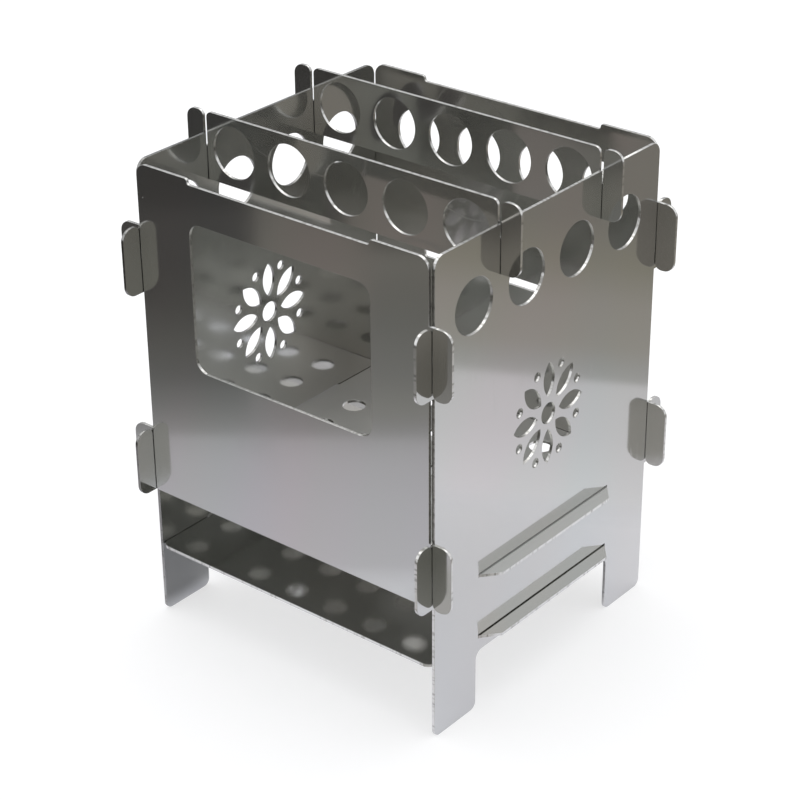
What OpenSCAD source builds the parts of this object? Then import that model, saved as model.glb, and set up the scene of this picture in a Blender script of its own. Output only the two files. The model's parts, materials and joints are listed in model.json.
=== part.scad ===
// Flat-pack pocket stove. Eight laser-cut sheets lap, tab and slot into each other, with no fasteners.
// Millimetres. The origin is on the floor under the middle of the stove, the loading window faces -Y,
// and +Z is up.

/* [Body] */
// Width over the outer faces of the two side panels
body_w = 114.5; // [106:0.5:126]
// Depth over the outer faces of the front and rear panels
body_d = 113; // [106:0.5:126]
// Height of the panels above the floor
body_h = 160; // [150:1:190]
// Thickness of the steel sheet
sheet_t = 1; // [0.8:0.1:1.5]
// Clearance on each side of a sheet in its slot, and beside each plate
fit_gap = 0.2; // [0.1:0.05:0.3]
// Radius of the panels' top corners
corner_r = 4; // [2:0.5:6]

/* [Ears and laps] */
// Height of an ear
ear_h = 22.5; // [18:0.5:26]
// How far an ear stands out of the panel that it crosses
ear_out = 7; // [6.5:0.5:10]
// Radius of an ear's outer corners
ear_r = 3.8; // [2:0.1:4]
// Radius at the mouth of a lap slot
mouth_r = 2; // [1:0.25:2.5]
// How far the upper ears start below the panels' top edge
ear_drop = 20.5; // [18:0.5:26]

/* [Front and rear panels] */
// Height of the lower edge of the front and rear panels, which the grate is level with
skirt_z = 47; // [44:0.5:52]
// Width of the shallow recess in the top edge
rim_w = 70; // [50:1:80]
// Depth of the shallow recess
rim_dip = 1.8; // [1:0.1:3]
// Width of the loading window
window_w = 70; // [50:1:80]
// Height of the loading window
window_h = 49.5; // [40:0.5:54]
// Metal left above the loading window
window_drop = 14; // [12:0.5:18]
// Radius of the loading window's corners
window_r = 4.5; // [2:0.5:8]
// Width of the air slot in the rear panel
rear_slot_w = 70; // [50:1:80]
// Height of the air slot in the rear panel
rear_slot_h = 3; // [2:0.25:5]
// Height of the air slot's lower edge above the floor
rear_slot_z = 95.3; // [88:0.1:104]
// Radius of the air slot's corners
rear_slot_r = 0.8; // [0.4:0.1:0.9]

/* [Vents] */
// Diameter of a round vent
vent_d = 17.5; // [13:0.5:19]
// Spacing of the vents, with the trivet slots midway between the outer ones
vent_pitch = 25; // [23:0.25:28]
// Number of vents in a row
vent_n = 4; // [4]
// How far the vents' centres lie below the top edge
vent_drop = 21; // [19:0.5:26]

/* [Side panels] */
// Width of the arch between the feet
arch_w = 70; // [60:1:84]
// Height of the arch
arch_h = 20.5; // [16:0.5:22]
// Radius of the arch's upper corners
arch_r = 3; // [1:0.5:8]
// Radius of the feet's corners
foot_r = 2.5; // [1:0.5:5]
// Diameter of the vent rosette
rosette_d = 35; // [28:0.5:40]
// Height of the rosette's centre above the floor
rosette_z = 89; // [84:0.5:94]
// Number of petals in the rosette
petal_n = 8; // [5:1:8]
// Width of a petal
petal_w = 5.6; // [4:0.2:6]
// Diameter of the small hole between two petals' tips
dot_d = 3.2; // [2:0.2:4]
// Diameter of the rosette's middle hole
eye_d = 7; // [5:0.5:9]
// Metal left between the middle hole and the petals
web = 2; // [1.5:0.25:2.5]

/* [Grate and ash plate] */
// Width of a tab at its root
tab_w = 67.6; // [50:0.1:76]
// Width of a tab at its tip
tab_tip_w = 56; // [40:0.5:66]
// How far a tab stands out of the side panel
tab_out = 4.8; // [3:0.1:7]
// Radius of the plates' corners
plate_r = 3; // [1:0.5:6]
// Diameter of a hole in the grate
grate_hole_d = 8; // [5:0.5:11]
// Spacing of the grate's holes
grate_pitch = 16.75; // [14:0.25:18]
// Number of holes along and across the grate
grate_n = 6; // [4:1:6]
// Height of the ash plate's lower face above the floor
ash_z = 25; // [23:0.5:32]
// Depth of the ash plate
ash_d = 112; // [100:0.5:112.5]

/* [Trivets] */
// Height of a trivet's strip
trivet_h = 22.5; // [20:0.5:28]
// How deep a trivet sits in the side panels
trivet_sink = 15.5; // [10:0.5:16]
// How far a trivet stands out of the side panels
trivet_out = 7; // [6.5:0.5:10]
// Radius of a trivet's outer corners
trivet_r = 3.5; // [2:0.1:4]
// Diameter of a hole in a trivet
trivet_hole_d = 17; // [12:0.5:18]
// Spacing of the trivets' holes
trivet_pitch = 22.5; // [20:0.25:24]
// Number of holes in a trivet
trivet_n = 5; // [3:2:5]

/* [Hidden] */
$fn = 96;
cut_over = sheet_t / 2;
slot_w = sheet_t + 2 * fit_gap;
wall_half = body_w / 2 - sheet_t - fit_gap;
side_half = body_d / 2 - sheet_t - fit_gap;
wall_reach = body_w / 2 + ear_out;
side_reach = body_d / 2 + ear_out;
trivet_reach = body_w / 2 + trivet_out;
ear_lows = [skirt_z, body_h - ear_drop - ear_h];
grate_z = skirt_z;
seat_z = body_h - trivet_sink;
trivet_y = vent_pitch;
petal_root = eye_d / 2 + web;
petal_half = (rosette_d / 2 - petal_root) / 2;
petal_arc_r = (pow(petal_half, 2) + pow(petal_w / 2, 2)) / petal_w;

// Half of an outline and its mirror image
module both_halves() {
    children();
    mirror([1, 0]) children();
}

// What a rounding takes off a square corner. The metal runs from the corner towards into, such as [-1, 1].
module round_off(corner, into, r) {
    difference() {
        translate([
            corner[0] - (into[0] > 0 ? cut_over : r),
            corner[1] - (into[1] > 0 ? cut_over : r)
        ])
            square(r + cut_over);
        translate(corner + r * into)
            circle(r);
    }
}

// A rectangle that stands on the axis, with four rounded corners
module rounded(w, h, r) {
    difference() {
        translate([-w / 2, 0])
            square([w, h]);
        both_halves() {
            round_off([w / 2, 0], [-1, 1], r);
            round_off([w / 2, h], [-1, -1], r);
        }
    }
}

// A row of round holes about the middle of a sheet
module hole_row(n, pitch, d) {
    for (i = [0 : n - 1])
        translate([(i - (n - 1) / 2) * pitch, 0])
            circle(d = d);
}

// A sheet that stands across the stove, with its outer face outward of the given Y
module across(front_y) {
    translate([0, front_y + sheet_t, 0])
        rotate([90, 0, 0])
            linear_extrude(sheet_t)
                children();
}

// A sheet that stands from front to rear, with its left face at the given X
module lengthwise(left_x) {
    translate([left_x, 0, 0])
        rotate([90, 0, 90])
            linear_extrude(sheet_t)
                children();
}

// A sheet that lies level, with its lower face at the given height
module level(low_z) {
    translate([0, 0, low_z])
        linear_extrude(sheet_t)
            children();
}

// The outline that all four panels share: two ears on each edge, each with a half-height lap slot
module lapped_outline(half, reach, base, slots_open_down) {
    difference() {
        union() {
            translate([-half, base])
                square([2 * half, body_h - base]);
            for (low = ear_lows)
                translate([-reach, low])
                    square([2 * reach, ear_h]);
        }
        both_halves() {
            round_off([half, body_h], [-1, -1], corner_r);
            for (low = ear_lows) {
                round_off([reach, low], [-1, 1], ear_r);
                round_off([reach, low + ear_h], [-1, -1], ear_r);
                lap_slot(half, low, slots_open_down);
            }
        }
    }
}

// A lap slot beside a panel's edge, from one end of an ear to the ear's mid height
module lap_slot(half, low, opens_down) {
    translate([half, opens_down ? low - cut_over : low + ear_h / 2])
        square([slot_w, ear_h / 2 + cut_over]);
    round_off([half + slot_w, opens_down ? low : low + ear_h], [1, opens_down ? 1 : -1], mouth_r);
}

// The shallow recess in the top edge, with an S-shaped step at each end
module rim_recess() {
    step_r = rim_dip / 2;
    difference() {
        translate([-rim_w / 2, body_h - rim_dip])
            square([rim_w, rim_dip + cut_over]);
        both_halves()
            round_off([rim_w / 2, body_h - rim_dip], [-1, 1], step_r);
    }
    both_halves()
        round_off([rim_w / 2, body_h], [1, -1], step_r);
}

// The front and rear panels before their own openings
module wall_outline() {
    difference() {
        lapped_outline(wall_half, wall_reach, skirt_z, true);
        rim_recess();
    }
}

module front_panel() {
    color("darkgray")
        across(-body_d / 2)
            difference() {
                wall_outline();
                translate([0, body_h - window_drop - window_h])
                    rounded(window_w, window_h, window_r);
            }
}

module rear_panel() {
    color("darkgray")
        across(body_d / 2 - sheet_t)
            difference() {
                wall_outline();
                translate([0, body_h - vent_drop])
                    hole_row(vent_n, vent_pitch, vent_d);
                translate([0, rear_slot_z])
                    rounded(rear_slot_w, rear_slot_h, rear_slot_r);
            }
}

// One petal: two arcs that meet in a point at each end
module petal() {
    translate([0, petal_root + petal_half])
        intersection_for (side = [-1, 1])
            translate([side * (petal_arc_r - petal_w / 2), 0])
                circle(petal_arc_r);
}

// The ring of petals round a middle hole, which lets air in through each side panel
module rosette() {
    circle(d = eye_d);
    for (i = [0 : petal_n - 1]) {
        rotate(i * 360 / petal_n)
            petal();
        rotate((i + 0.5) * 360 / petal_n)
            translate([0, (rosette_d - dot_d) / 2])
                circle(d = dot_d);
    }
}

// The arch between the feet, with the feet's inner corners rounded
module arch() {
    difference() {
        translate([-arch_w / 2, -cut_over])
            square([arch_w, arch_h + cut_over]);
        both_halves()
            round_off([arch_w / 2, arch_h], [-1, -1], arch_r);
    }
    both_halves()
        round_off([arch_w / 2, 0], [1, 1], foot_r);
}

// A closed slot that a plate's tab rests in
module tab_slot(plate_z) {
    translate([-tab_w / 2 - fit_gap, plate_z])
        square([tab_w + 2 * fit_gap, slot_w]);
}

module side_outline() {
    difference() {
        lapped_outline(side_half, side_reach, 0, false);
        translate([0, body_h - vent_drop])
            hole_row(vent_n, vent_pitch, vent_d);
        translate([0, rosette_z])
            rosette();
        tab_slot(grate_z);
        tab_slot(ash_z);
        arch();
        both_halves() {
            round_off([side_half, 0], [-1, 1], foot_r);
            translate([trivet_y - slot_w / 2, seat_z])
                square([slot_w, trivet_sink + cut_over]);
        }
    }
}

module left_side_panel() {
    color("silver")
        lengthwise(-body_w / 2)
            side_outline();
}

module right_side_panel() {
    color("silver")
        lengthwise(body_w / 2 - sheet_t)
            side_outline();
}

// A plate between the side panels, with a tapered tab through each of them
module plate_outline(depth) {
    root_x = body_w / 2;
    tip_x = root_x + tab_out;
    translate([0, -depth / 2])
        rounded(2 * wall_half, depth, plate_r);
    polygon([
        [-tip_x, -tab_tip_w / 2],
        [-root_x, -tab_w / 2],
        [root_x, -tab_w / 2],
        [tip_x, -tab_tip_w / 2],
        [tip_x, tab_tip_w / 2],
        [root_x, tab_w / 2],
        [-root_x, tab_w / 2],
        [-tip_x, tab_tip_w / 2]
    ]);
}

module grate() {
    color("dimgray")
        level(grate_z)
            difference() {
                plate_outline(2 * side_half);
                for (j = [0 : grate_n - 1])
                    translate([0, (j - (grate_n - 1) / 2) * grate_pitch])
                        hole_row(grate_n, grate_pitch, grate_hole_d);
            }
}

module ash_plate() {
    color("gray")
        level(ash_z)
            plate_outline(ash_d);
}

// A pot trivet: a strip with a row of holes and an open-topped slot over each side panel
module trivet_outline() {
    top = seat_z + trivet_h;
    difference() {
        translate([-trivet_reach, seat_z])
            square([2 * trivet_reach, trivet_h]);
        translate([0, seat_z + trivet_h / 2])
            hole_row(trivet_n, trivet_pitch, trivet_hole_d);
        both_halves() {
            round_off([trivet_reach, seat_z], [-1, 1], trivet_r);
            round_off([trivet_reach, top], [-1, -1], trivet_r);
            translate([wall_half, seat_z + trivet_h / 2])
                square([slot_w, trivet_h / 2 + cut_over]);
            round_off([wall_half, top], [-1, -1], mouth_r);
            round_off([wall_half + slot_w, top], [1, -1], mouth_r);
        }
    }
}

module front_trivet() {
    color("lightgray")
        across(-trivet_y - sheet_t / 2)
            trivet_outline();
}

module rear_trivet() {
    color("lightgray")
        across(trivet_y - sheet_t / 2)
            trivet_outline();
}

left_side_panel();
right_side_panel();
front_panel();
rear_panel();
grate();
ash_plate();
front_trivet();
rear_trivet();
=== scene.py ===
# Dresses a flat-pack pocket stove: eight bright cold-rolled steel sheets, cut by laser.
# Metres throughout. The floor is at Z 0 and the loading window faces -Y.
import json
import math

import bmesh
import bpy
from mathutils import Matrix, Vector


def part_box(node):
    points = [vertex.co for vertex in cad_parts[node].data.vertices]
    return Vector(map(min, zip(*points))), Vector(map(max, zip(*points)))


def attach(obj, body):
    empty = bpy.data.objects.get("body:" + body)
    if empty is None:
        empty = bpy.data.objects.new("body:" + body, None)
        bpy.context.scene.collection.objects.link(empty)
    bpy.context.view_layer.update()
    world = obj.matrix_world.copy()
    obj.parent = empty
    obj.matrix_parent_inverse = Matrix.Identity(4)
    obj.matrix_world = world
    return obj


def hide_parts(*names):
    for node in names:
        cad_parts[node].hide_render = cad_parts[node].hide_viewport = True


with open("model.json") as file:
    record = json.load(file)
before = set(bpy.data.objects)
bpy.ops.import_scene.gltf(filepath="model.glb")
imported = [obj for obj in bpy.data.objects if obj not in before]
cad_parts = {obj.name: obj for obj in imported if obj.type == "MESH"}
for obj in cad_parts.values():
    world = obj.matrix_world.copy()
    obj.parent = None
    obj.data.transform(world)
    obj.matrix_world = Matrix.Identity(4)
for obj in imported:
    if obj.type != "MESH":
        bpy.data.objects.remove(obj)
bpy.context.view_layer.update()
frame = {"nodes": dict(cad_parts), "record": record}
print("frame loaded:", ", ".join(sorted(frame["nodes"])))

millimetre = 0.001

photoCamera = {
    "place": (0.4009, -0.4887, 0.4117),
    "azimuth": 39.42,  # degrees round from straight ahead of the front panel
    "elevation": 28.08,  # degrees that it looks down
    "roll": -0.45,
    "lens": 100.75,
    "sensor": 36.0,
    "clipStart": 0.01,
    "clipEnd": 50.0,
}


def addCamera(look):
    turn = math.radians(look["azimuth"])
    dip = math.radians(look["elevation"])
    lean = math.radians(look["roll"])
    forward = Vector((-math.sin(turn) * math.cos(dip), math.cos(turn) * math.cos(dip), -math.sin(dip)))
    level = Vector((math.cos(turn), math.sin(turn), 0))
    plumb = level.cross(forward)
    right = level * math.cos(lean) + plumb * math.sin(lean)
    up = plumb * math.cos(lean) - level * math.sin(lean)
    camera = bpy.data.objects.new("camera", bpy.data.cameras.new("camera"))
    camera.data.lens = look["lens"]
    camera.data.sensor_width = look["sensor"]
    camera.data.clip_start = look["clipStart"]
    camera.data.clip_end = look["clipEnd"]
    camera.matrix_world = Matrix.Translation(look["place"]) @ Matrix((right, up, -forward)).transposed().to_4x4()
    bpy.context.scene.collection.objects.link(camera)
    bpy.context.scene.camera = camera


addCamera(photoCamera)
print("camera placed")


# Node helpers. Settings are a node's own fields, and sockets its unlinked inputs.
def addNode(tree, kind, settings=None, sockets=None):
    node = tree.nodes.new(kind)
    for field, value in (settings or {}).items():
        setattr(node, field, value)
    for socket, value in (sockets or {}).items():
        node.inputs[socket].default_value = value
    return node


def addMath(tree, operation, first, second=None):
    node = addNode(tree, "ShaderNodeMath", {"operation": operation})
    for place, value in enumerate((first, second)):
        if isinstance(value, bpy.types.NodeSocket):
            tree.links.new(value, node.inputs[place])
        elif value is not None:
            node.inputs[place].default_value = value
    return node.outputs[0]


def addRange(tree, value, fromLow, fromHigh, toLow=0.0, toHigh=1.0):
    node = addNode(
        tree,
        "ShaderNodeMapRange",
        {"interpolation_type": "SMOOTHSTEP"},
        {"From Min": fromLow, "From Max": fromHigh, "To Min": toLow, "To Max": toHigh},
    )
    tree.links.new(value, node.inputs["Value"])
    return node.outputs["Result"]


def addNoise(tree, vector, scale, detail):
    node = addNode(tree, "ShaderNodeTexNoise", None, {"Scale": scale, "Detail": detail})
    tree.links.new(vector, node.inputs["Vector"])
    return node.outputs["Fac"]


def addMapped(tree, coordinates, scale):
    mapping = addNode(tree, "ShaderNodeMapping", None, {"Scale": scale})
    tree.links.new(coordinates, mapping.inputs["Vector"])
    return mapping.outputs["Vector"]


def addBump(tree, height, distance):
    bump = addNode(tree, "ShaderNodeBump", None, {"Strength": 1.0, "Distance": distance})
    tree.links.new(height, bump.inputs["Height"])
    return bump.outputs["Normal"]


def newMaterial(name):
    material = bpy.data.materials.new(name)
    material.use_nodes = True
    return material, material.node_tree


def newGroup(name, inputs, outputs):
    tree = bpy.data.node_groups.new(name, "ShaderNodeTree")
    for label, kind, value in inputs:
        socket = tree.interface.new_socket(label, in_out="INPUT", socket_type=kind)
        if value is not None:
            socket.default_value = value
    for label, kind in outputs:
        tree.interface.new_socket(label, in_out="OUTPUT", socket_type=kind)
    return tree, addNode(tree, "NodeGroupInput").outputs, addNode(tree, "NodeGroupOutput").inputs


def placeGroup(tree, group, vector, values=None):
    node = addNode(tree, "ShaderNodeGroup", {"node_tree": group}, values)
    tree.links.new(vector, node.inputs["Vector"])
    return node.outputs


# Rolling leaves fine streaks along the sheet, which the vector's scale stretches.
def makeRollingGrain():
    tree, given, result = newGroup(
        "rollingGrain",
        [("Vector", "NodeSocketVector", None)],
        [("Streak", "NodeSocketFloat")],
    )
    tree.links.new(addNoise(tree, given["Vector"], scale=1.0, detail=3.0), result["Streak"])
    return tree


# Handling leaves soft greasy patches, a few hairline scratches and specks of dust.
handlingMarks = {
    "patchScale": 26.0,
    "patchFrom": 0.5,  # of the noise: where a patch begins, and where it is full
    "patchFull": 0.74,
    "scratchTurn": (0.6, 0.4, 0.9),
    "scratchStretch": (9, 160, 14),
    "scratchLevel": 0.63,  # a scratch runs where the noise is at this level
    "scratchWidth": 0.004,
    "speckScale": 130.0,
    "speckFrom": 0.86,  # of the cells' random tone: which cells hold a speck
    "speckFull": 0.9,
    "speckHeart": 0.012,
    "speckRim": 0.026,
}


def makeHandling(look):
    tree, given, result = newGroup(
        "handling",
        [
            ("Vector", "NodeSocketVector", None),
            ("Patch Scale", "NodeSocketFloat", look["patchScale"]),
            ("Speck Scale", "NodeSocketFloat", look["speckScale"]),
        ],
        [("Smudge", "NodeSocketFloat"), ("Scratch", "NodeSocketFloat"), ("Speck", "NodeSocketFloat")],
    )
    patches = addNode(tree, "ShaderNodeTexNoise", None, {"Detail": 4.0, "Roughness": 0.62})
    tree.links.new(given["Vector"], patches.inputs["Vector"])
    tree.links.new(given["Patch Scale"], patches.inputs["Scale"])
    smudge = addRange(tree, patches.outputs["Fac"], look["patchFrom"], look["patchFull"])
    tree.links.new(smudge, result["Smudge"])
    turned = addNode(
        tree, "ShaderNodeMapping", None, {"Rotation": look["scratchTurn"], "Scale": look["scratchStretch"]}
    )
    tree.links.new(given["Vector"], turned.inputs["Vector"])
    lines = addNoise(tree, turned.outputs["Vector"], scale=1.0, detail=1.0)
    offLine = addMath(tree, "ABSOLUTE", addMath(tree, "SUBTRACT", lines, look["scratchLevel"]))
    tree.links.new(addRange(tree, offLine, 0.0, look["scratchWidth"], 1.0, 0.0), result["Scratch"])
    cells = addNode(tree, "ShaderNodeTexVoronoi", {"feature": "F1"})
    tree.links.new(given["Vector"], cells.inputs["Vector"])
    tree.links.new(given["Speck Scale"], cells.inputs["Scale"])
    chosen = addNode(tree, "ShaderNodeSeparateColor")
    tree.links.new(cells.outputs["Color"], chosen.inputs["Color"])
    few = addRange(tree, chosen.outputs["Red"], look["speckFrom"], look["speckFull"])
    near = addRange(tree, cells.outputs["Distance"], look["speckHeart"], look["speckRim"], 1.0, 0.0)
    tree.links.new(addMath(tree, "MULTIPLY", few, near), result["Speck"])
    return tree


# No rolled sheet is quite flat, so its reflections bend a little.
def makeSheetBow():
    tree, given, result = newGroup(
        "sheetBow",
        [("Vector", "NodeSocketVector", None), ("Scale", "NodeSocketFloat", 14.0)],
        [("Height", "NodeSocketFloat")],
    )
    swell = addNode(tree, "ShaderNodeTexNoise", None, {"Detail": 1.0, "Roughness": 0.3})
    tree.links.new(given["Vector"], swell.inputs["Vector"])
    tree.links.new(given["Scale"], swell.inputs["Scale"])
    tree.links.new(swell.outputs["Fac"], result["Height"])
    return tree


# A colour that drifts slowly between two tones.
def makeToneDrift():
    tree, given, result = newGroup(
        "toneDrift",
        [
            ("Vector", "NodeSocketVector", None),
            ("Cool", "NodeSocketColor", (0.5, 0.5, 0.5, 1)),
            ("Warm", "NodeSocketColor", (0.5, 0.5, 0.5, 1)),
        ],
        [("Color", "NodeSocketColor")],
    )
    drift = addRange(tree, addNoise(tree, given["Vector"], scale=1.0, detail=2.0), fromLow=0.35, fromHigh=0.65)
    mix = addNode(tree, "ShaderNodeMix", {"data_type": "RGBA"})
    tree.links.new(drift, mix.inputs["Factor"])
    tree.links.new(given["Cool"], mix.inputs["A"])
    tree.links.new(given["Warm"], mix.inputs["B"])
    tree.links.new(mix.outputs["Result"], result["Color"])
    return tree


# The laser leaves fine ridges through the sheet's thickness and a duller patch here and there.
laserMarks = {
    "ridgeScale": 4200.0,
    "dullScale": 1100.0,
    "dullFrom": 0.50,  # of the noise: where a dull patch begins, and where it is full
    "dullFull": 0.66,
}


def makeLaserRidges(look):
    tree, given, result = newGroup(
        "laserRidges",
        [("Vector", "NodeSocketVector", None)],
        [("Height", "NodeSocketFloat"), ("Dull", "NodeSocketFloat")],
    )
    tree.links.new(addNoise(tree, given["Vector"], look["ridgeScale"], detail=1.0), result["Height"])
    patches = addNoise(tree, given["Vector"], look["dullScale"], detail=2.0)
    tree.links.new(addRange(tree, patches, look["dullFrom"], look["dullFull"]), result["Dull"])
    return tree


rollingGrain = makeRollingGrain()
handling = makeHandling(handlingMarks)
sheetBow = makeSheetBow()
toneDrift = makeToneDrift()
laserRidges = makeLaserRidges(laserMarks)

brightSheet = {
    "cool": (0.640, 0.650, 0.632, 1),
    "warm": (0.660, 0.648, 0.620, 1),
    "roughness": 0.09,
    "streakDull": 0.05,
    "smudgeDull": 0.06,
    "scratchDull": 0.10,
    "speckDull": 0.6,
    "bowHeight": 0.00006,
    "acrossGrain": 1100.0,  # streaks to a metre
    "alongGrain": 18.0,
    "acrossBand": 16.0,  # bands of tone to a metre
    "alongBand": 2.0,
}


def makeSheetSteel(name, grainAxis, polish, look):
    material, tree = newMaterial(name)
    shader = tree.nodes["Principled BSDF"]
    coordinates = addNode(tree, "ShaderNodeTexCoord").outputs["Object"]
    streaked = [look["alongGrain"] if axis == grainAxis else look["acrossGrain"] for axis in range(3)]
    banded = [look["alongBand"] if axis == grainAxis else look["acrossBand"] for axis in range(3)]
    grain = placeGroup(tree, rollingGrain, addMapped(tree, coordinates, streaked))
    marks = placeGroup(tree, handling, coordinates)
    bow = placeGroup(tree, sheetBow, coordinates)
    tint = placeGroup(
        tree, toneDrift, addMapped(tree, coordinates, banded), {"Cool": look["cool"], "Warm": look["warm"]}
    )
    streak = addMath(tree, "MULTIPLY", addMath(tree, "SUBTRACT", grain["Streak"], 0.5), look["streakDull"])
    dull = addMath(tree, "ADD", streak, look["roughness"])
    for mark, gain in (("Smudge", "smudgeDull"), ("Scratch", "scratchDull"), ("Speck", "speckDull")):
        dull = addMath(tree, "ADD", dull, addMath(tree, "MULTIPLY", marks[mark], look[gain]))
    tree.links.new(dull, shader.inputs["Roughness"])
    tree.links.new(tint["Color"], shader.inputs["Base Color"])
    tree.links.new(addMath(tree, "SUBTRACT", polish, marks["Speck"]), shader.inputs["Metallic"])
    tree.links.new(addBump(tree, bow["Height"], look["bowHeight"]), shader.inputs["Normal"])
    return material


cutEdge = {
    "color": (0.78, 0.77, 0.74, 1),
    "dullColor": (0.52, 0.51, 0.48, 1),
    "darkerLeft": {"color": (0.36, 0.355, 0.34, 1), "dullColor": (0.24, 0.235, 0.22, 1)},  # the left side panel's cut edges are darker
    "paintedReflectionShade": (0.30, 0.295, 0.28, 1),  # painted shade: the colour a cut edge takes where it is seen in a reflection
    "roughness": 0.24,
    "ridgeHeight": 0.000008,
    "ridgeStretch": 0.02,  # runs the ridges straight through the sheet
}


def makeCutEdge(name, thinAxis, look):
    material, tree = newMaterial(name)
    shader = tree.nodes["Principled BSDF"]
    shader.inputs["Metallic"].default_value = 1.0
    shader.inputs["Roughness"].default_value = look["roughness"]
    coordinates = addNode(tree, "ShaderNodeTexCoord").outputs["Object"]
    stretched = [look["ridgeStretch"] if axis == thinAxis else 1.0 for axis in range(3)]
    ridges = placeGroup(tree, laserRidges, addMapped(tree, coordinates, stretched))
    mix = addNode(tree, "ShaderNodeMix", {"data_type": "RGBA"}, {"A": look["color"], "B": look["dullColor"]})
    tree.links.new(ridges["Dull"], mix.inputs["Factor"])
    # Painted shade: where a cut edge is seen in a reflection, its colour turns to the darker one.
    shadedInReflection = addNode(tree, "ShaderNodeMix", {"data_type": "RGBA"}, {"B": look["paintedReflectionShade"]})
    tree.links.new(addNode(tree, "ShaderNodeLightPath").outputs["Is Glossy Ray"], shadedInReflection.inputs["Factor"])
    tree.links.new(mix.outputs["Result"], shadedInReflection.inputs["A"])
    tree.links.new(shadedInReflection.outputs["Result"], shader.inputs["Base Color"])
    tree.links.new(addBump(tree, ridges["Height"], look["ridgeHeight"]), shader.inputs["Normal"])
    return material


# What polish lacks to 1 is a thin dull film that veils the reflections.
sheetFinishes = {
    "upright": {"material": "sheetSteelUpright", "grainAxis": 2, "polish": 0.95},
    "grate": {"material": "sheetSteelGrate", "grainAxis": 0, "polish": 0.52},
    "ash_plate": {"material": "sheetSteelAshPlate", "grainAxis": 0, "polish": 0.99},
}

axisNames = "XYZ"
sheetSteels = {
    name: makeSheetSteel(finish["material"], finish["grainAxis"], finish["polish"], brightSheet)
    for name, finish in sheetFinishes.items()
}
cutEdges = {
    thinAxis: makeCutEdge("cutEdgeThrough" + axisNames[thinAxis], thinAxis, cutEdge) for thinAxis in range(3)
}
# The left side panel's cut edges take the darker colours.
darkerLeftEdges = {"left_side_panel": makeCutEdge("darkerEdgeThroughX", 0, {**cutEdge, **cutEdge["darkerLeft"]})}
print("finishes made")

sheetPiece = {
    "weld": 0.001 * millimetre,
    "flatness": 0.5,  # degrees between faces that are one flat face
    "flatCosine": 0.9,  # the least share of a flat face's normal along the sheet's thin axis
    "edgeRound": 0.07 * millimetre,  # what tumbling takes off a cut edge
    "roundSteps": 2,
    "smoothBelow": 40,  # degrees
}


def thinAxisOf(nodeName):
    low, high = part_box(nodeName)
    span = high - low
    return min(range(3), key=lambda axis: span[axis])


# A copy of a packed sheet, with its triangles joined into flat faces and its cut edges slightly rounded.
def dressSheet(nodeName, body, look):
    thinAxis = thinAxisOf(nodeName)
    shape = bmesh.new()
    shape.from_mesh(frame["nodes"][nodeName].data)
    bmesh.ops.remove_doubles(shape, verts=shape.verts, dist=look["weld"])
    bmesh.ops.dissolve_limit(
        shape, angle_limit=math.radians(look["flatness"]), verts=shape.verts, edges=shape.edges
    )

    def isFlat(face):
        return abs(face.normal[thinAxis]) > look["flatCosine"]

    rims = [edge for edge in shape.edges if len({isFlat(face) for face in edge.link_faces}) == 2]
    bmesh.ops.bevel(
        shape,
        geom=rims,
        offset=look["edgeRound"],
        offset_type="OFFSET",
        segments=look["roundSteps"],
        profile=0.5,
        affect="EDGES",
        clamp_overlap=True,
        material=-1,
    )
    for face in shape.faces:
        face.material_index = 0 if isFlat(face) else 1
        face.smooth = True
    mesh = bpy.data.meshes.new(nodeName + "_dressed")
    shape.to_mesh(mesh)
    shape.free()
    mesh.set_sharp_from_angle(angle=math.radians(look["smoothBelow"]))
    mesh.materials.append(sheetSteels.get(nodeName, sheetSteels["upright"]))
    mesh.materials.append(darkerLeftEdges.get(nodeName, cutEdges[thinAxis]))
    piece = bpy.data.objects.new(nodeName + "_dressed", mesh)
    bpy.context.scene.collection.objects.link(piece)
    piece.modifiers.new("flatFacesFirst", "WEIGHTED_NORMAL").keep_sharp = True
    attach(piece, body)
    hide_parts(nodeName)
    return piece


for bodyName, nodeNames in frame["record"]["behaviour"]["bodies"].items():
    for nodeName in nodeNames:
        dressed = dressSheet(nodeName, bodyName, sheetPiece)
        print("dressed", nodeName, "with", len(dressed.data.polygons), "faces")


studio = {
    "floorHalf": 4.0,
    "floorColor": (0.42, 0.42, 0.42, 1),
    "cameraLift": 0.64,  # brings the lit floor to white in the picture
    "mirrorLift": 0.43,  # and to a pale grey in the steel
    "mirrorTint": (1.0, 1.01, 1.13, 1),
    "shadeMiddle": (0.0, 0.030),  # painted shade: beneath the stove and close behind it the steel shows a dimmer floor
    "shadeHalf": (0.0592, 0.091),
    "shadeSoft": 0.010,
    "shadeLift": 0.22,
    "nearReach": 0.060,  # painted light: round about it the mirrored floor is brightened to make up for the stove's own shadow
    "nearLift": 1.25,
    "skyColor": (1.0, 1.015, 1.05, 1),
    "skyStrength": 0.86,
    "patchRim": 0.72,  # cosines of the angle off a patch's middle where it begins and is full
    "patchHeart": 0.97,
    "skyPatches": {  # ways in which the sky is dimmer or brighter
        "frontRight": {"way": (0.58, -0.66, 0.46), "gain": -0.62},
        "rearLeft": {"way": (-0.57, 0.64, 0.50), "gain": -0.30},
        "frontLeft": {"way": (-0.58, -0.66, 0.46), "gain": 0.12},
        "overhead": {"way": (0.0, 0.0, 1.0), "gain": -0.55, "mirroredOnly": True},  # the stage keeps its light
    },
}


def addPlane(name, half, height):
    shape = bmesh.new()
    lifted = Matrix.Translation((0, 0, height))
    bmesh.ops.create_grid(shape, x_segments=1, y_segments=1, size=half, matrix=lifted)
    mesh = bpy.data.meshes.new(name)
    shape.to_mesh(mesh)
    shape.free()
    plane = bpy.data.objects.new(name, mesh)
    bpy.context.scene.collection.objects.link(plane)
    return plane


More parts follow.
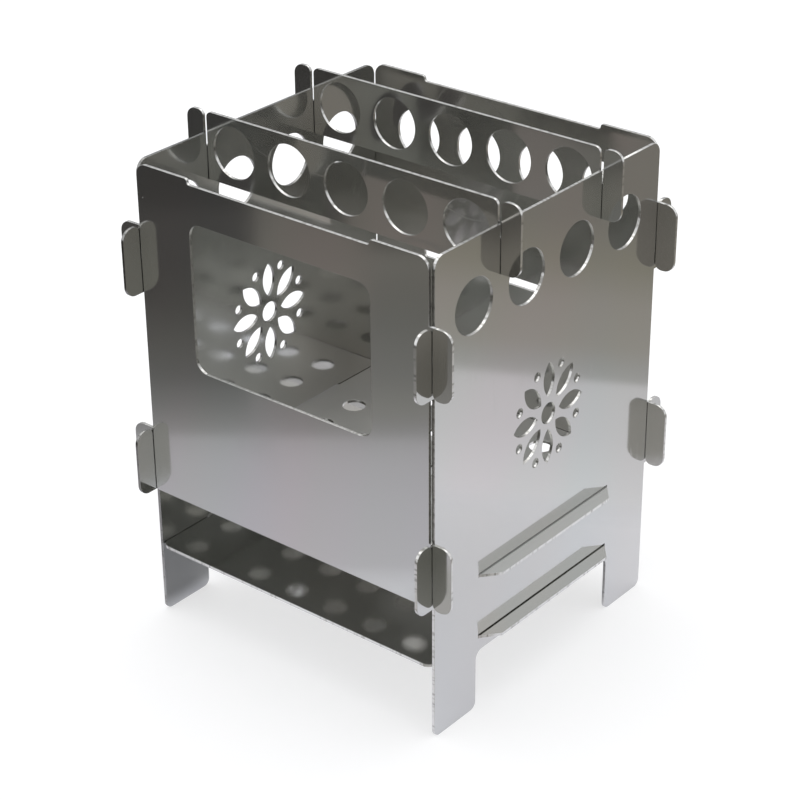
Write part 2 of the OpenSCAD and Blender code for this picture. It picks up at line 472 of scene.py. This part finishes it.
def makeFloor(look):
    floor = addPlane("floor", look["floorHalf"], 0)
    material, tree = newMaterial("paleFloor")
    floor.data.materials.append(material)
    shader = tree.nodes["Principled BSDF"]
    shader.inputs["Base Color"].default_value = look["floorColor"]
    shader.inputs["Roughness"].default_value = 1.0
    shader.inputs["Specular IOR Level"].default_value = 0.0
    path = addNode(tree, "ShaderNodeLightPath").outputs
    tint = addNode(tree, "ShaderNodeMix", {"data_type": "RGBA"}, {"A": (1, 1, 1, 1), "B": look["mirrorTint"]})
    tree.links.new(path["Is Glossy Ray"], tint.inputs["Factor"])
    tree.links.new(tint.outputs["Result"], shader.inputs["Emission Color"])
    place = addNode(tree, "ShaderNodeSeparateXYZ")
    tree.links.new(addNode(tree, "ShaderNodeTexCoord").outputs["Object"], place.inputs["Vector"])
    outside = []
    for axis, (middle, half) in enumerate(zip(look["shadeMiddle"], look["shadeHalf"])):
        aside = addMath(tree, "ABSOLUTE", addMath(tree, "SUBTRACT", place.outputs[axis], middle))
        outside.append(addMath(tree, "SUBTRACT", aside, half))
    fromStove = addMath(tree, "MAXIMUM", *outside)
    # Painted shade: the floor's glow in reflections is dimmed beneath the stove and close behind it.
    paintedShadeUnderStove = addRange(tree, fromStove, -look["shadeSoft"], 0.0, look["shadeLift"])
    # Painted light: the floor's glow in reflections is raised round about the stove.
    paintedLightNearStove = addRange(tree, fromStove, 0.0, look["nearReach"], look["nearLift"], 1.0)
    seen = addMath(tree, "MULTIPLY", path["Is Camera Ray"], look["cameraLift"])
    mirrored = addMath(tree, "MULTIPLY", path["Is Glossy Ray"], look["mirrorLift"])
    mirrored = addMath(tree, "MULTIPLY", mirrored, addMath(tree, "MULTIPLY", paintedShadeUnderStove, paintedLightNearStove))
    tree.links.new(addMath(tree, "ADD", seen, mirrored), shader.inputs["Emission Strength"])


def makeWorld(look):
    world = bpy.data.worlds.new("studioWorld")
    bpy.context.scene.world = world
    world.use_nodes = True
    tree = world.node_tree
    sky = tree.nodes["Background"]
    sky.inputs["Color"].default_value = look["skyColor"]
    path = addNode(tree, "ShaderNodeLightPath").outputs
    seenWay = addNode(tree, "ShaderNodeTexCoord").outputs["Generated"]
    strength = look["skyStrength"]
    for patch in look["skyPatches"].values():
        facing = addNode(tree, "ShaderNodeVectorMath", {"operation": "DOT_PRODUCT"})
        facing.inputs[1].default_value = Vector(patch["way"]).normalized()
        tree.links.new(seenWay, facing.inputs[0])
        gained = addRange(tree, facing.outputs["Value"], look["patchRim"], look["patchHeart"], 0.0, patch["gain"])
        if patch.get("mirroredOnly"):
            gained = addMath(tree, "MULTIPLY", gained, path["Is Glossy Ray"])
        strength = addMath(tree, "ADD", gained, strength)
    tree.links.new(strength, sky.inputs["Strength"])
    backdrop = addNode(tree, "ShaderNodeBackground", None, {"Color": (1, 1, 1, 1), "Strength": 1.0})
    choose = addNode(tree, "ShaderNodeMixShader")
    tree.links.new(path["Is Camera Ray"], choose.inputs["Fac"])
    tree.links.new(sky.outputs["Background"], choose.inputs[1])
    tree.links.new(backdrop.outputs["Background"], choose.inputs[2])
    tree.links.new(choose.outputs["Shader"], tree.nodes["World Output"].inputs["Surface"])


# Glowing toned cards lie on the white floor and give the bright steel something to show: painted reflections of
# darker surroundings and of the stove's own shadow. The camera doesn't see them.
# Each has a straight edge, with the card to the left of the way from its first point to its second.
# A stop is the distance beyond that edge, the colour there, and how much of the floor the card covers there.
# A flank is a second such line, and cuts the card off on its right.
frontLeftEdge = ((-0.0610, -0.2010), (-0.1380, -0.1430))
cards = {
    "reach": 3.0,
    "height": 0.001,
    "streaks": 30.0,  # to a metre along the edge
    "paleTint": (1.02, 0.985, 0.985, 1),
    "deepTint": (0.98, 1.005, 0.965, 1),
    "underneath": (0.86, 0.87, 0.95, 1),
    "order": ("frontLeft", "rearRight", "rearLeft", "darkCorner", "nearCorner", "frontRight"),
    "frontLeft": {
        "edge": frontLeftEdge,
        "stops": (
            (-0.115, (0.670, 0.662, 0.735), 0.0),
            (-0.090, (0.628, 0.621, 0.688), 1.0),
            (-0.050, (0.586, 0.578, 0.642), 1.0),
            (-0.020, (0.539, 0.530, 0.584), 1.0),
            (-0.001, (0.474, 0.467, 0.507), 1.0),
            (0.001, (0.353, 0.348, 0.368), 1.0),
            (0.012, (0.293, 0.288, 0.302), 1.0),
            (0.030, (0.250, 0.246, 0.252), 1.0),
            (0.070, (0.200, 0.203, 0.199), 1.0),
            (0.110, (0.215, 0.200, 0.188), 1.0),
            (0.220, (0.170, 0.156, 0.146), 1.0),
            (0.600, (0.120, 0.110, 0.100), 1.0),
        ),
    },
    "darkCorner": {
        "edge": frontLeftEdge,
        "flank": ((-0.2590, -0.3250), (-0.2340, -0.2970)),
        "flankSoft": 0.003,
        "stops": (
            (0.000, (0.30, 0.29, 0.30), 0.0),
            (0.025, (0.200, 0.198, 0.205), 0.75),
            (0.048, (0.135, 0.134, 0.135), 1.0),
            (0.075, (0.108, 0.106, 0.102), 1.0),
            (0.110, (0.074, 0.071, 0.068), 1.0),
            (0.150, (0.058, 0.055, 0.054), 1.0),
            (0.205, (0.058, 0.055, 0.054), 1.0),
            (0.228, (0.036, 0.034, 0.033), 1.0),
            (0.600, (0.030, 0.028, 0.027), 1.0),
        ),
    },
    "nearCorner": {
        "edge": frontLeftEdge,
        "flank": ((-0.0898, -0.1793), (-0.1500, -0.2592)),
        "flankSoft": 0.010,
        "stops": (
            (0.008, (0.290, 0.286, 0.280), 0.0),
            (0.022, (0.270, 0.268, 0.264), 1.0),
            (0.049, (0.205, 0.204, 0.204), 1.0),
            (0.100, (0.160, 0.160, 0.154), 1.0),
            (0.125, (0.160, 0.157, 0.149), 1.0),
            (0.142, (0.164, 0.159, 0.150), 1.0),
            (0.156, (0.188, 0.182, 0.171), 1.0),
            (0.169, (0.180, 0.174, 0.163), 1.0),
            (0.180, (0.072, 0.069, 0.064), 1.0),
            (0.600, (0.060, 0.057, 0.053), 1.0),
        ),
    },
    "rearRight": {
        "edge": ((0.1340, 0.1760), (0.2000, 0.1420)),
        "stops": (
            (-0.110, (0.860, 0.870, 0.940), 0.0),
            (-0.090, (0.855, 0.865, 0.935), 1.0),
            (-0.045, (0.755, 0.755, 0.815), 1.0),
            (-0.001, (0.700, 0.700, 0.750), 1.0),
            (0.001, (0.450, 0.455, 0.465), 1.0),
            (0.012, (0.415, 0.418, 0.425), 1.0),
            (0.030, (0.375, 0.362, 0.345), 1.0),
            (0.070, (0.350, 0.332, 0.315), 1.0),
            (0.110, (0.275, 0.262, 0.225), 1.0),
            (0.160, (0.225, 0.212, 0.195), 1.0),
            (0.600, (0.200, 0.190, 0.175), 1.0),
        ),
    },
    # Painted shadow: this card shows in the steel the stove's own shadow, falling on the floor to its front right.
    "frontRight": {
        "edge": ((0.1053, -0.0058), (0.0562, -0.0560)),
        "flank": ((0.0000, -0.1120), (-0.0260, -0.3000)),
        "flankSoft": 0.008,
        "stops": (
            (0.000, (0.500, 0.495, 0.505), 0.0),
            (0.006, (0.500, 0.495, 0.505), 1.0),
            (0.040, (0.480, 0.475, 0.485), 1.0),
            (0.062, (0.350, 0.345, 0.345), 1.0),
            (0.084, (0.255, 0.250, 0.245), 1.0),
            (0.104, (0.170, 0.168, 0.155), 1.0),
            (0.140, (0.240, 0.237, 0.222), 1.0),
            (0.200, (0.230, 0.226, 0.212), 1.0),
            (0.245, (0.180, 0.175, 0.164), 1.0),
            (0.285, (0.290, 0.282, 0.266), 1.0),
            (0.310, (0.265, 0.257, 0.242), 1.0),
            (0.321, (0.185, 0.180, 0.168), 1.0),
            (0.333, (0.100, 0.096, 0.090), 1.0),
            (0.600, (0.090, 0.087, 0.081), 1.0),
        ),
    },
    "rearLeft": {
        "edge": ((-0.1800, 0.1300), (-0.1000, 0.1900)),
        "stops": (
            (-0.001, (0.78, 0.78, 0.82), 0.0),
            (0.001, (0.44, 0.44, 0.45), 1.0),
            (0.030, (0.33, 0.325, 0.32), 1.0),
            (0.110, (0.25, 0.24, 0.225), 1.0),
            (0.600, (0.18, 0.17, 0.16), 1.0),
        ),
    },
}


def addReach(tree, coordinates, edge):
    start, end = (Vector((x, y, 0)) for x, y in edge)
    along = (end - start).normalized()
    outward = Vector((-along.y, along.x, 0))
    distances = []
    for direction in (outward, along):
        project = addNode(tree, "ShaderNodeVectorMath", {"operation": "DOT_PRODUCT"})
        project.inputs[1].default_value = direction
        tree.links.new(coordinates, project.inputs[0])
        distances.append(addMath(tree, "SUBTRACT", project.outputs["Value"], direction.dot(start)))
    return distances


def layCard(tree, coordinates, look, shared):
    beyond, sideways = addReach(tree, coordinates, look["edge"])
    nearest, farthest = look["stops"][0][0], look["stops"][-1][0]
    share = addMath(tree, "DIVIDE", addMath(tree, "SUBTRACT", beyond, nearest), farthest - nearest)
    ramp = addNode(tree, "ShaderNodeValToRGB")
    while len(ramp.color_ramp.elements) < len(look["stops"]):
        ramp.color_ramp.elements.new(1.0)
    for element, (distance, tone, cover) in zip(ramp.color_ramp.elements, look["stops"]):
        element.position = (distance - nearest) / (farthest - nearest)
        element.color = (*tone, cover)
    tree.links.new(share, ramp.inputs["Fac"])
    lengthwise = addNode(tree, "ShaderNodeCombineXYZ")
    tree.links.new(addMath(tree, "MULTIPLY", sideways, shared["streaks"]), lengthwise.inputs["X"])
    tints = {"Cool": shared["deepTint"], "Warm": shared["paleTint"]}
    drift = placeGroup(tree, toneDrift, lengthwise.outputs["Vector"], tints)
    tinted = addNode(tree, "ShaderNodeMix", {"data_type": "RGBA", "blend_type": "MULTIPLY"}, {"Factor": 1.0})
    tree.links.new(ramp.outputs["Color"], tinted.inputs["A"])
    tree.links.new(drift["Color"], tinted.inputs["B"])
    cover = ramp.outputs["Alpha"]
    if "flank" in look:
        aside = addReach(tree, coordinates, look["flank"])[0]
        cover = addMath(tree, "MULTIPLY", cover, addRange(tree, aside, 0.0, look["flankSoft"]))
    return tinted.outputs["Result"], cover


def makeCards(look):
    card = addPlane("tonedCards", look["reach"], look["height"])
    material, tree = newMaterial("tonedCards")
    card.data.materials.append(material)
    tree.nodes.remove(tree.nodes["Principled BSDF"])
    coordinates = addNode(tree, "ShaderNodeTexCoord").outputs["Object"]
    floorLeft, shown = None, None
    for name in look["order"]:
        tone, cover = layCard(tree, coordinates, look[name], look)
        layer = addNode(tree, "ShaderNodeMix", {"data_type": "RGBA"}, {"A": look["underneath"]})
        if shown is not None:
            tree.links.new(shown, layer.inputs["A"])
        tree.links.new(cover, layer.inputs["Factor"])
        tree.links.new(tone, layer.inputs["B"])
        shown = layer.outputs["Result"]
        bare = addMath(tree, "SUBTRACT", 1.0, cover)
        floorLeft = bare if floorLeft is None else addMath(tree, "MULTIPLY", floorLeft, bare)
    glow = addNode(tree, "ShaderNodeEmission")
    tree.links.new(shown, glow.inputs["Color"])
    lay = addNode(tree, "ShaderNodeMixShader")
    underside = addNode(tree, "ShaderNodeNewGeometry").outputs["Backfacing"]
    tree.links.new(addMath(tree, "MAXIMUM", floorLeft, underside), lay.inputs["Fac"])
    tree.links.new(glow.outputs["Emission"], lay.inputs[1])
    tree.links.new(addNode(tree, "ShaderNodeBsdfTransparent").outputs["BSDF"], lay.inputs[2])
    tree.links.new(lay.outputs["Shader"], tree.nodes["Material Output"].inputs["Surface"])
    card.visible_camera = False
    card.visible_shadow = False
    card.visible_transmission = False


makeFloor(studio)
makeWorld(studio)
makeCards(cards)

lamps = {
    "overhead": {"place": (-0.30, 0.36, 1.75), "size": 2.6, "watts": 17.0},
}


def addLamp(name, look):
    light = bpy.data.lights.new(name, "AREA")
    light.shape = "DISK"
    light.size = look["size"]
    light.energy = look["watts"]
    lamp = bpy.data.objects.new(name, light)
    place = Vector(look["place"])
    lamp.matrix_world = Matrix.Translation(place) @ (-place).to_track_quat("-Z", "Y").to_matrix().to_4x4()
    bpy.context.scene.collection.objects.link(lamp)


for lampName, lampLook in lamps.items():
    addLamp(lampName, lampLook)
print("stage and lights set")

scene = bpy.context.scene
scene.view_settings.view_transform = "Standard"
scene.cycles.glossy_bounces = 14
scene.cycles.max_bounces = 16
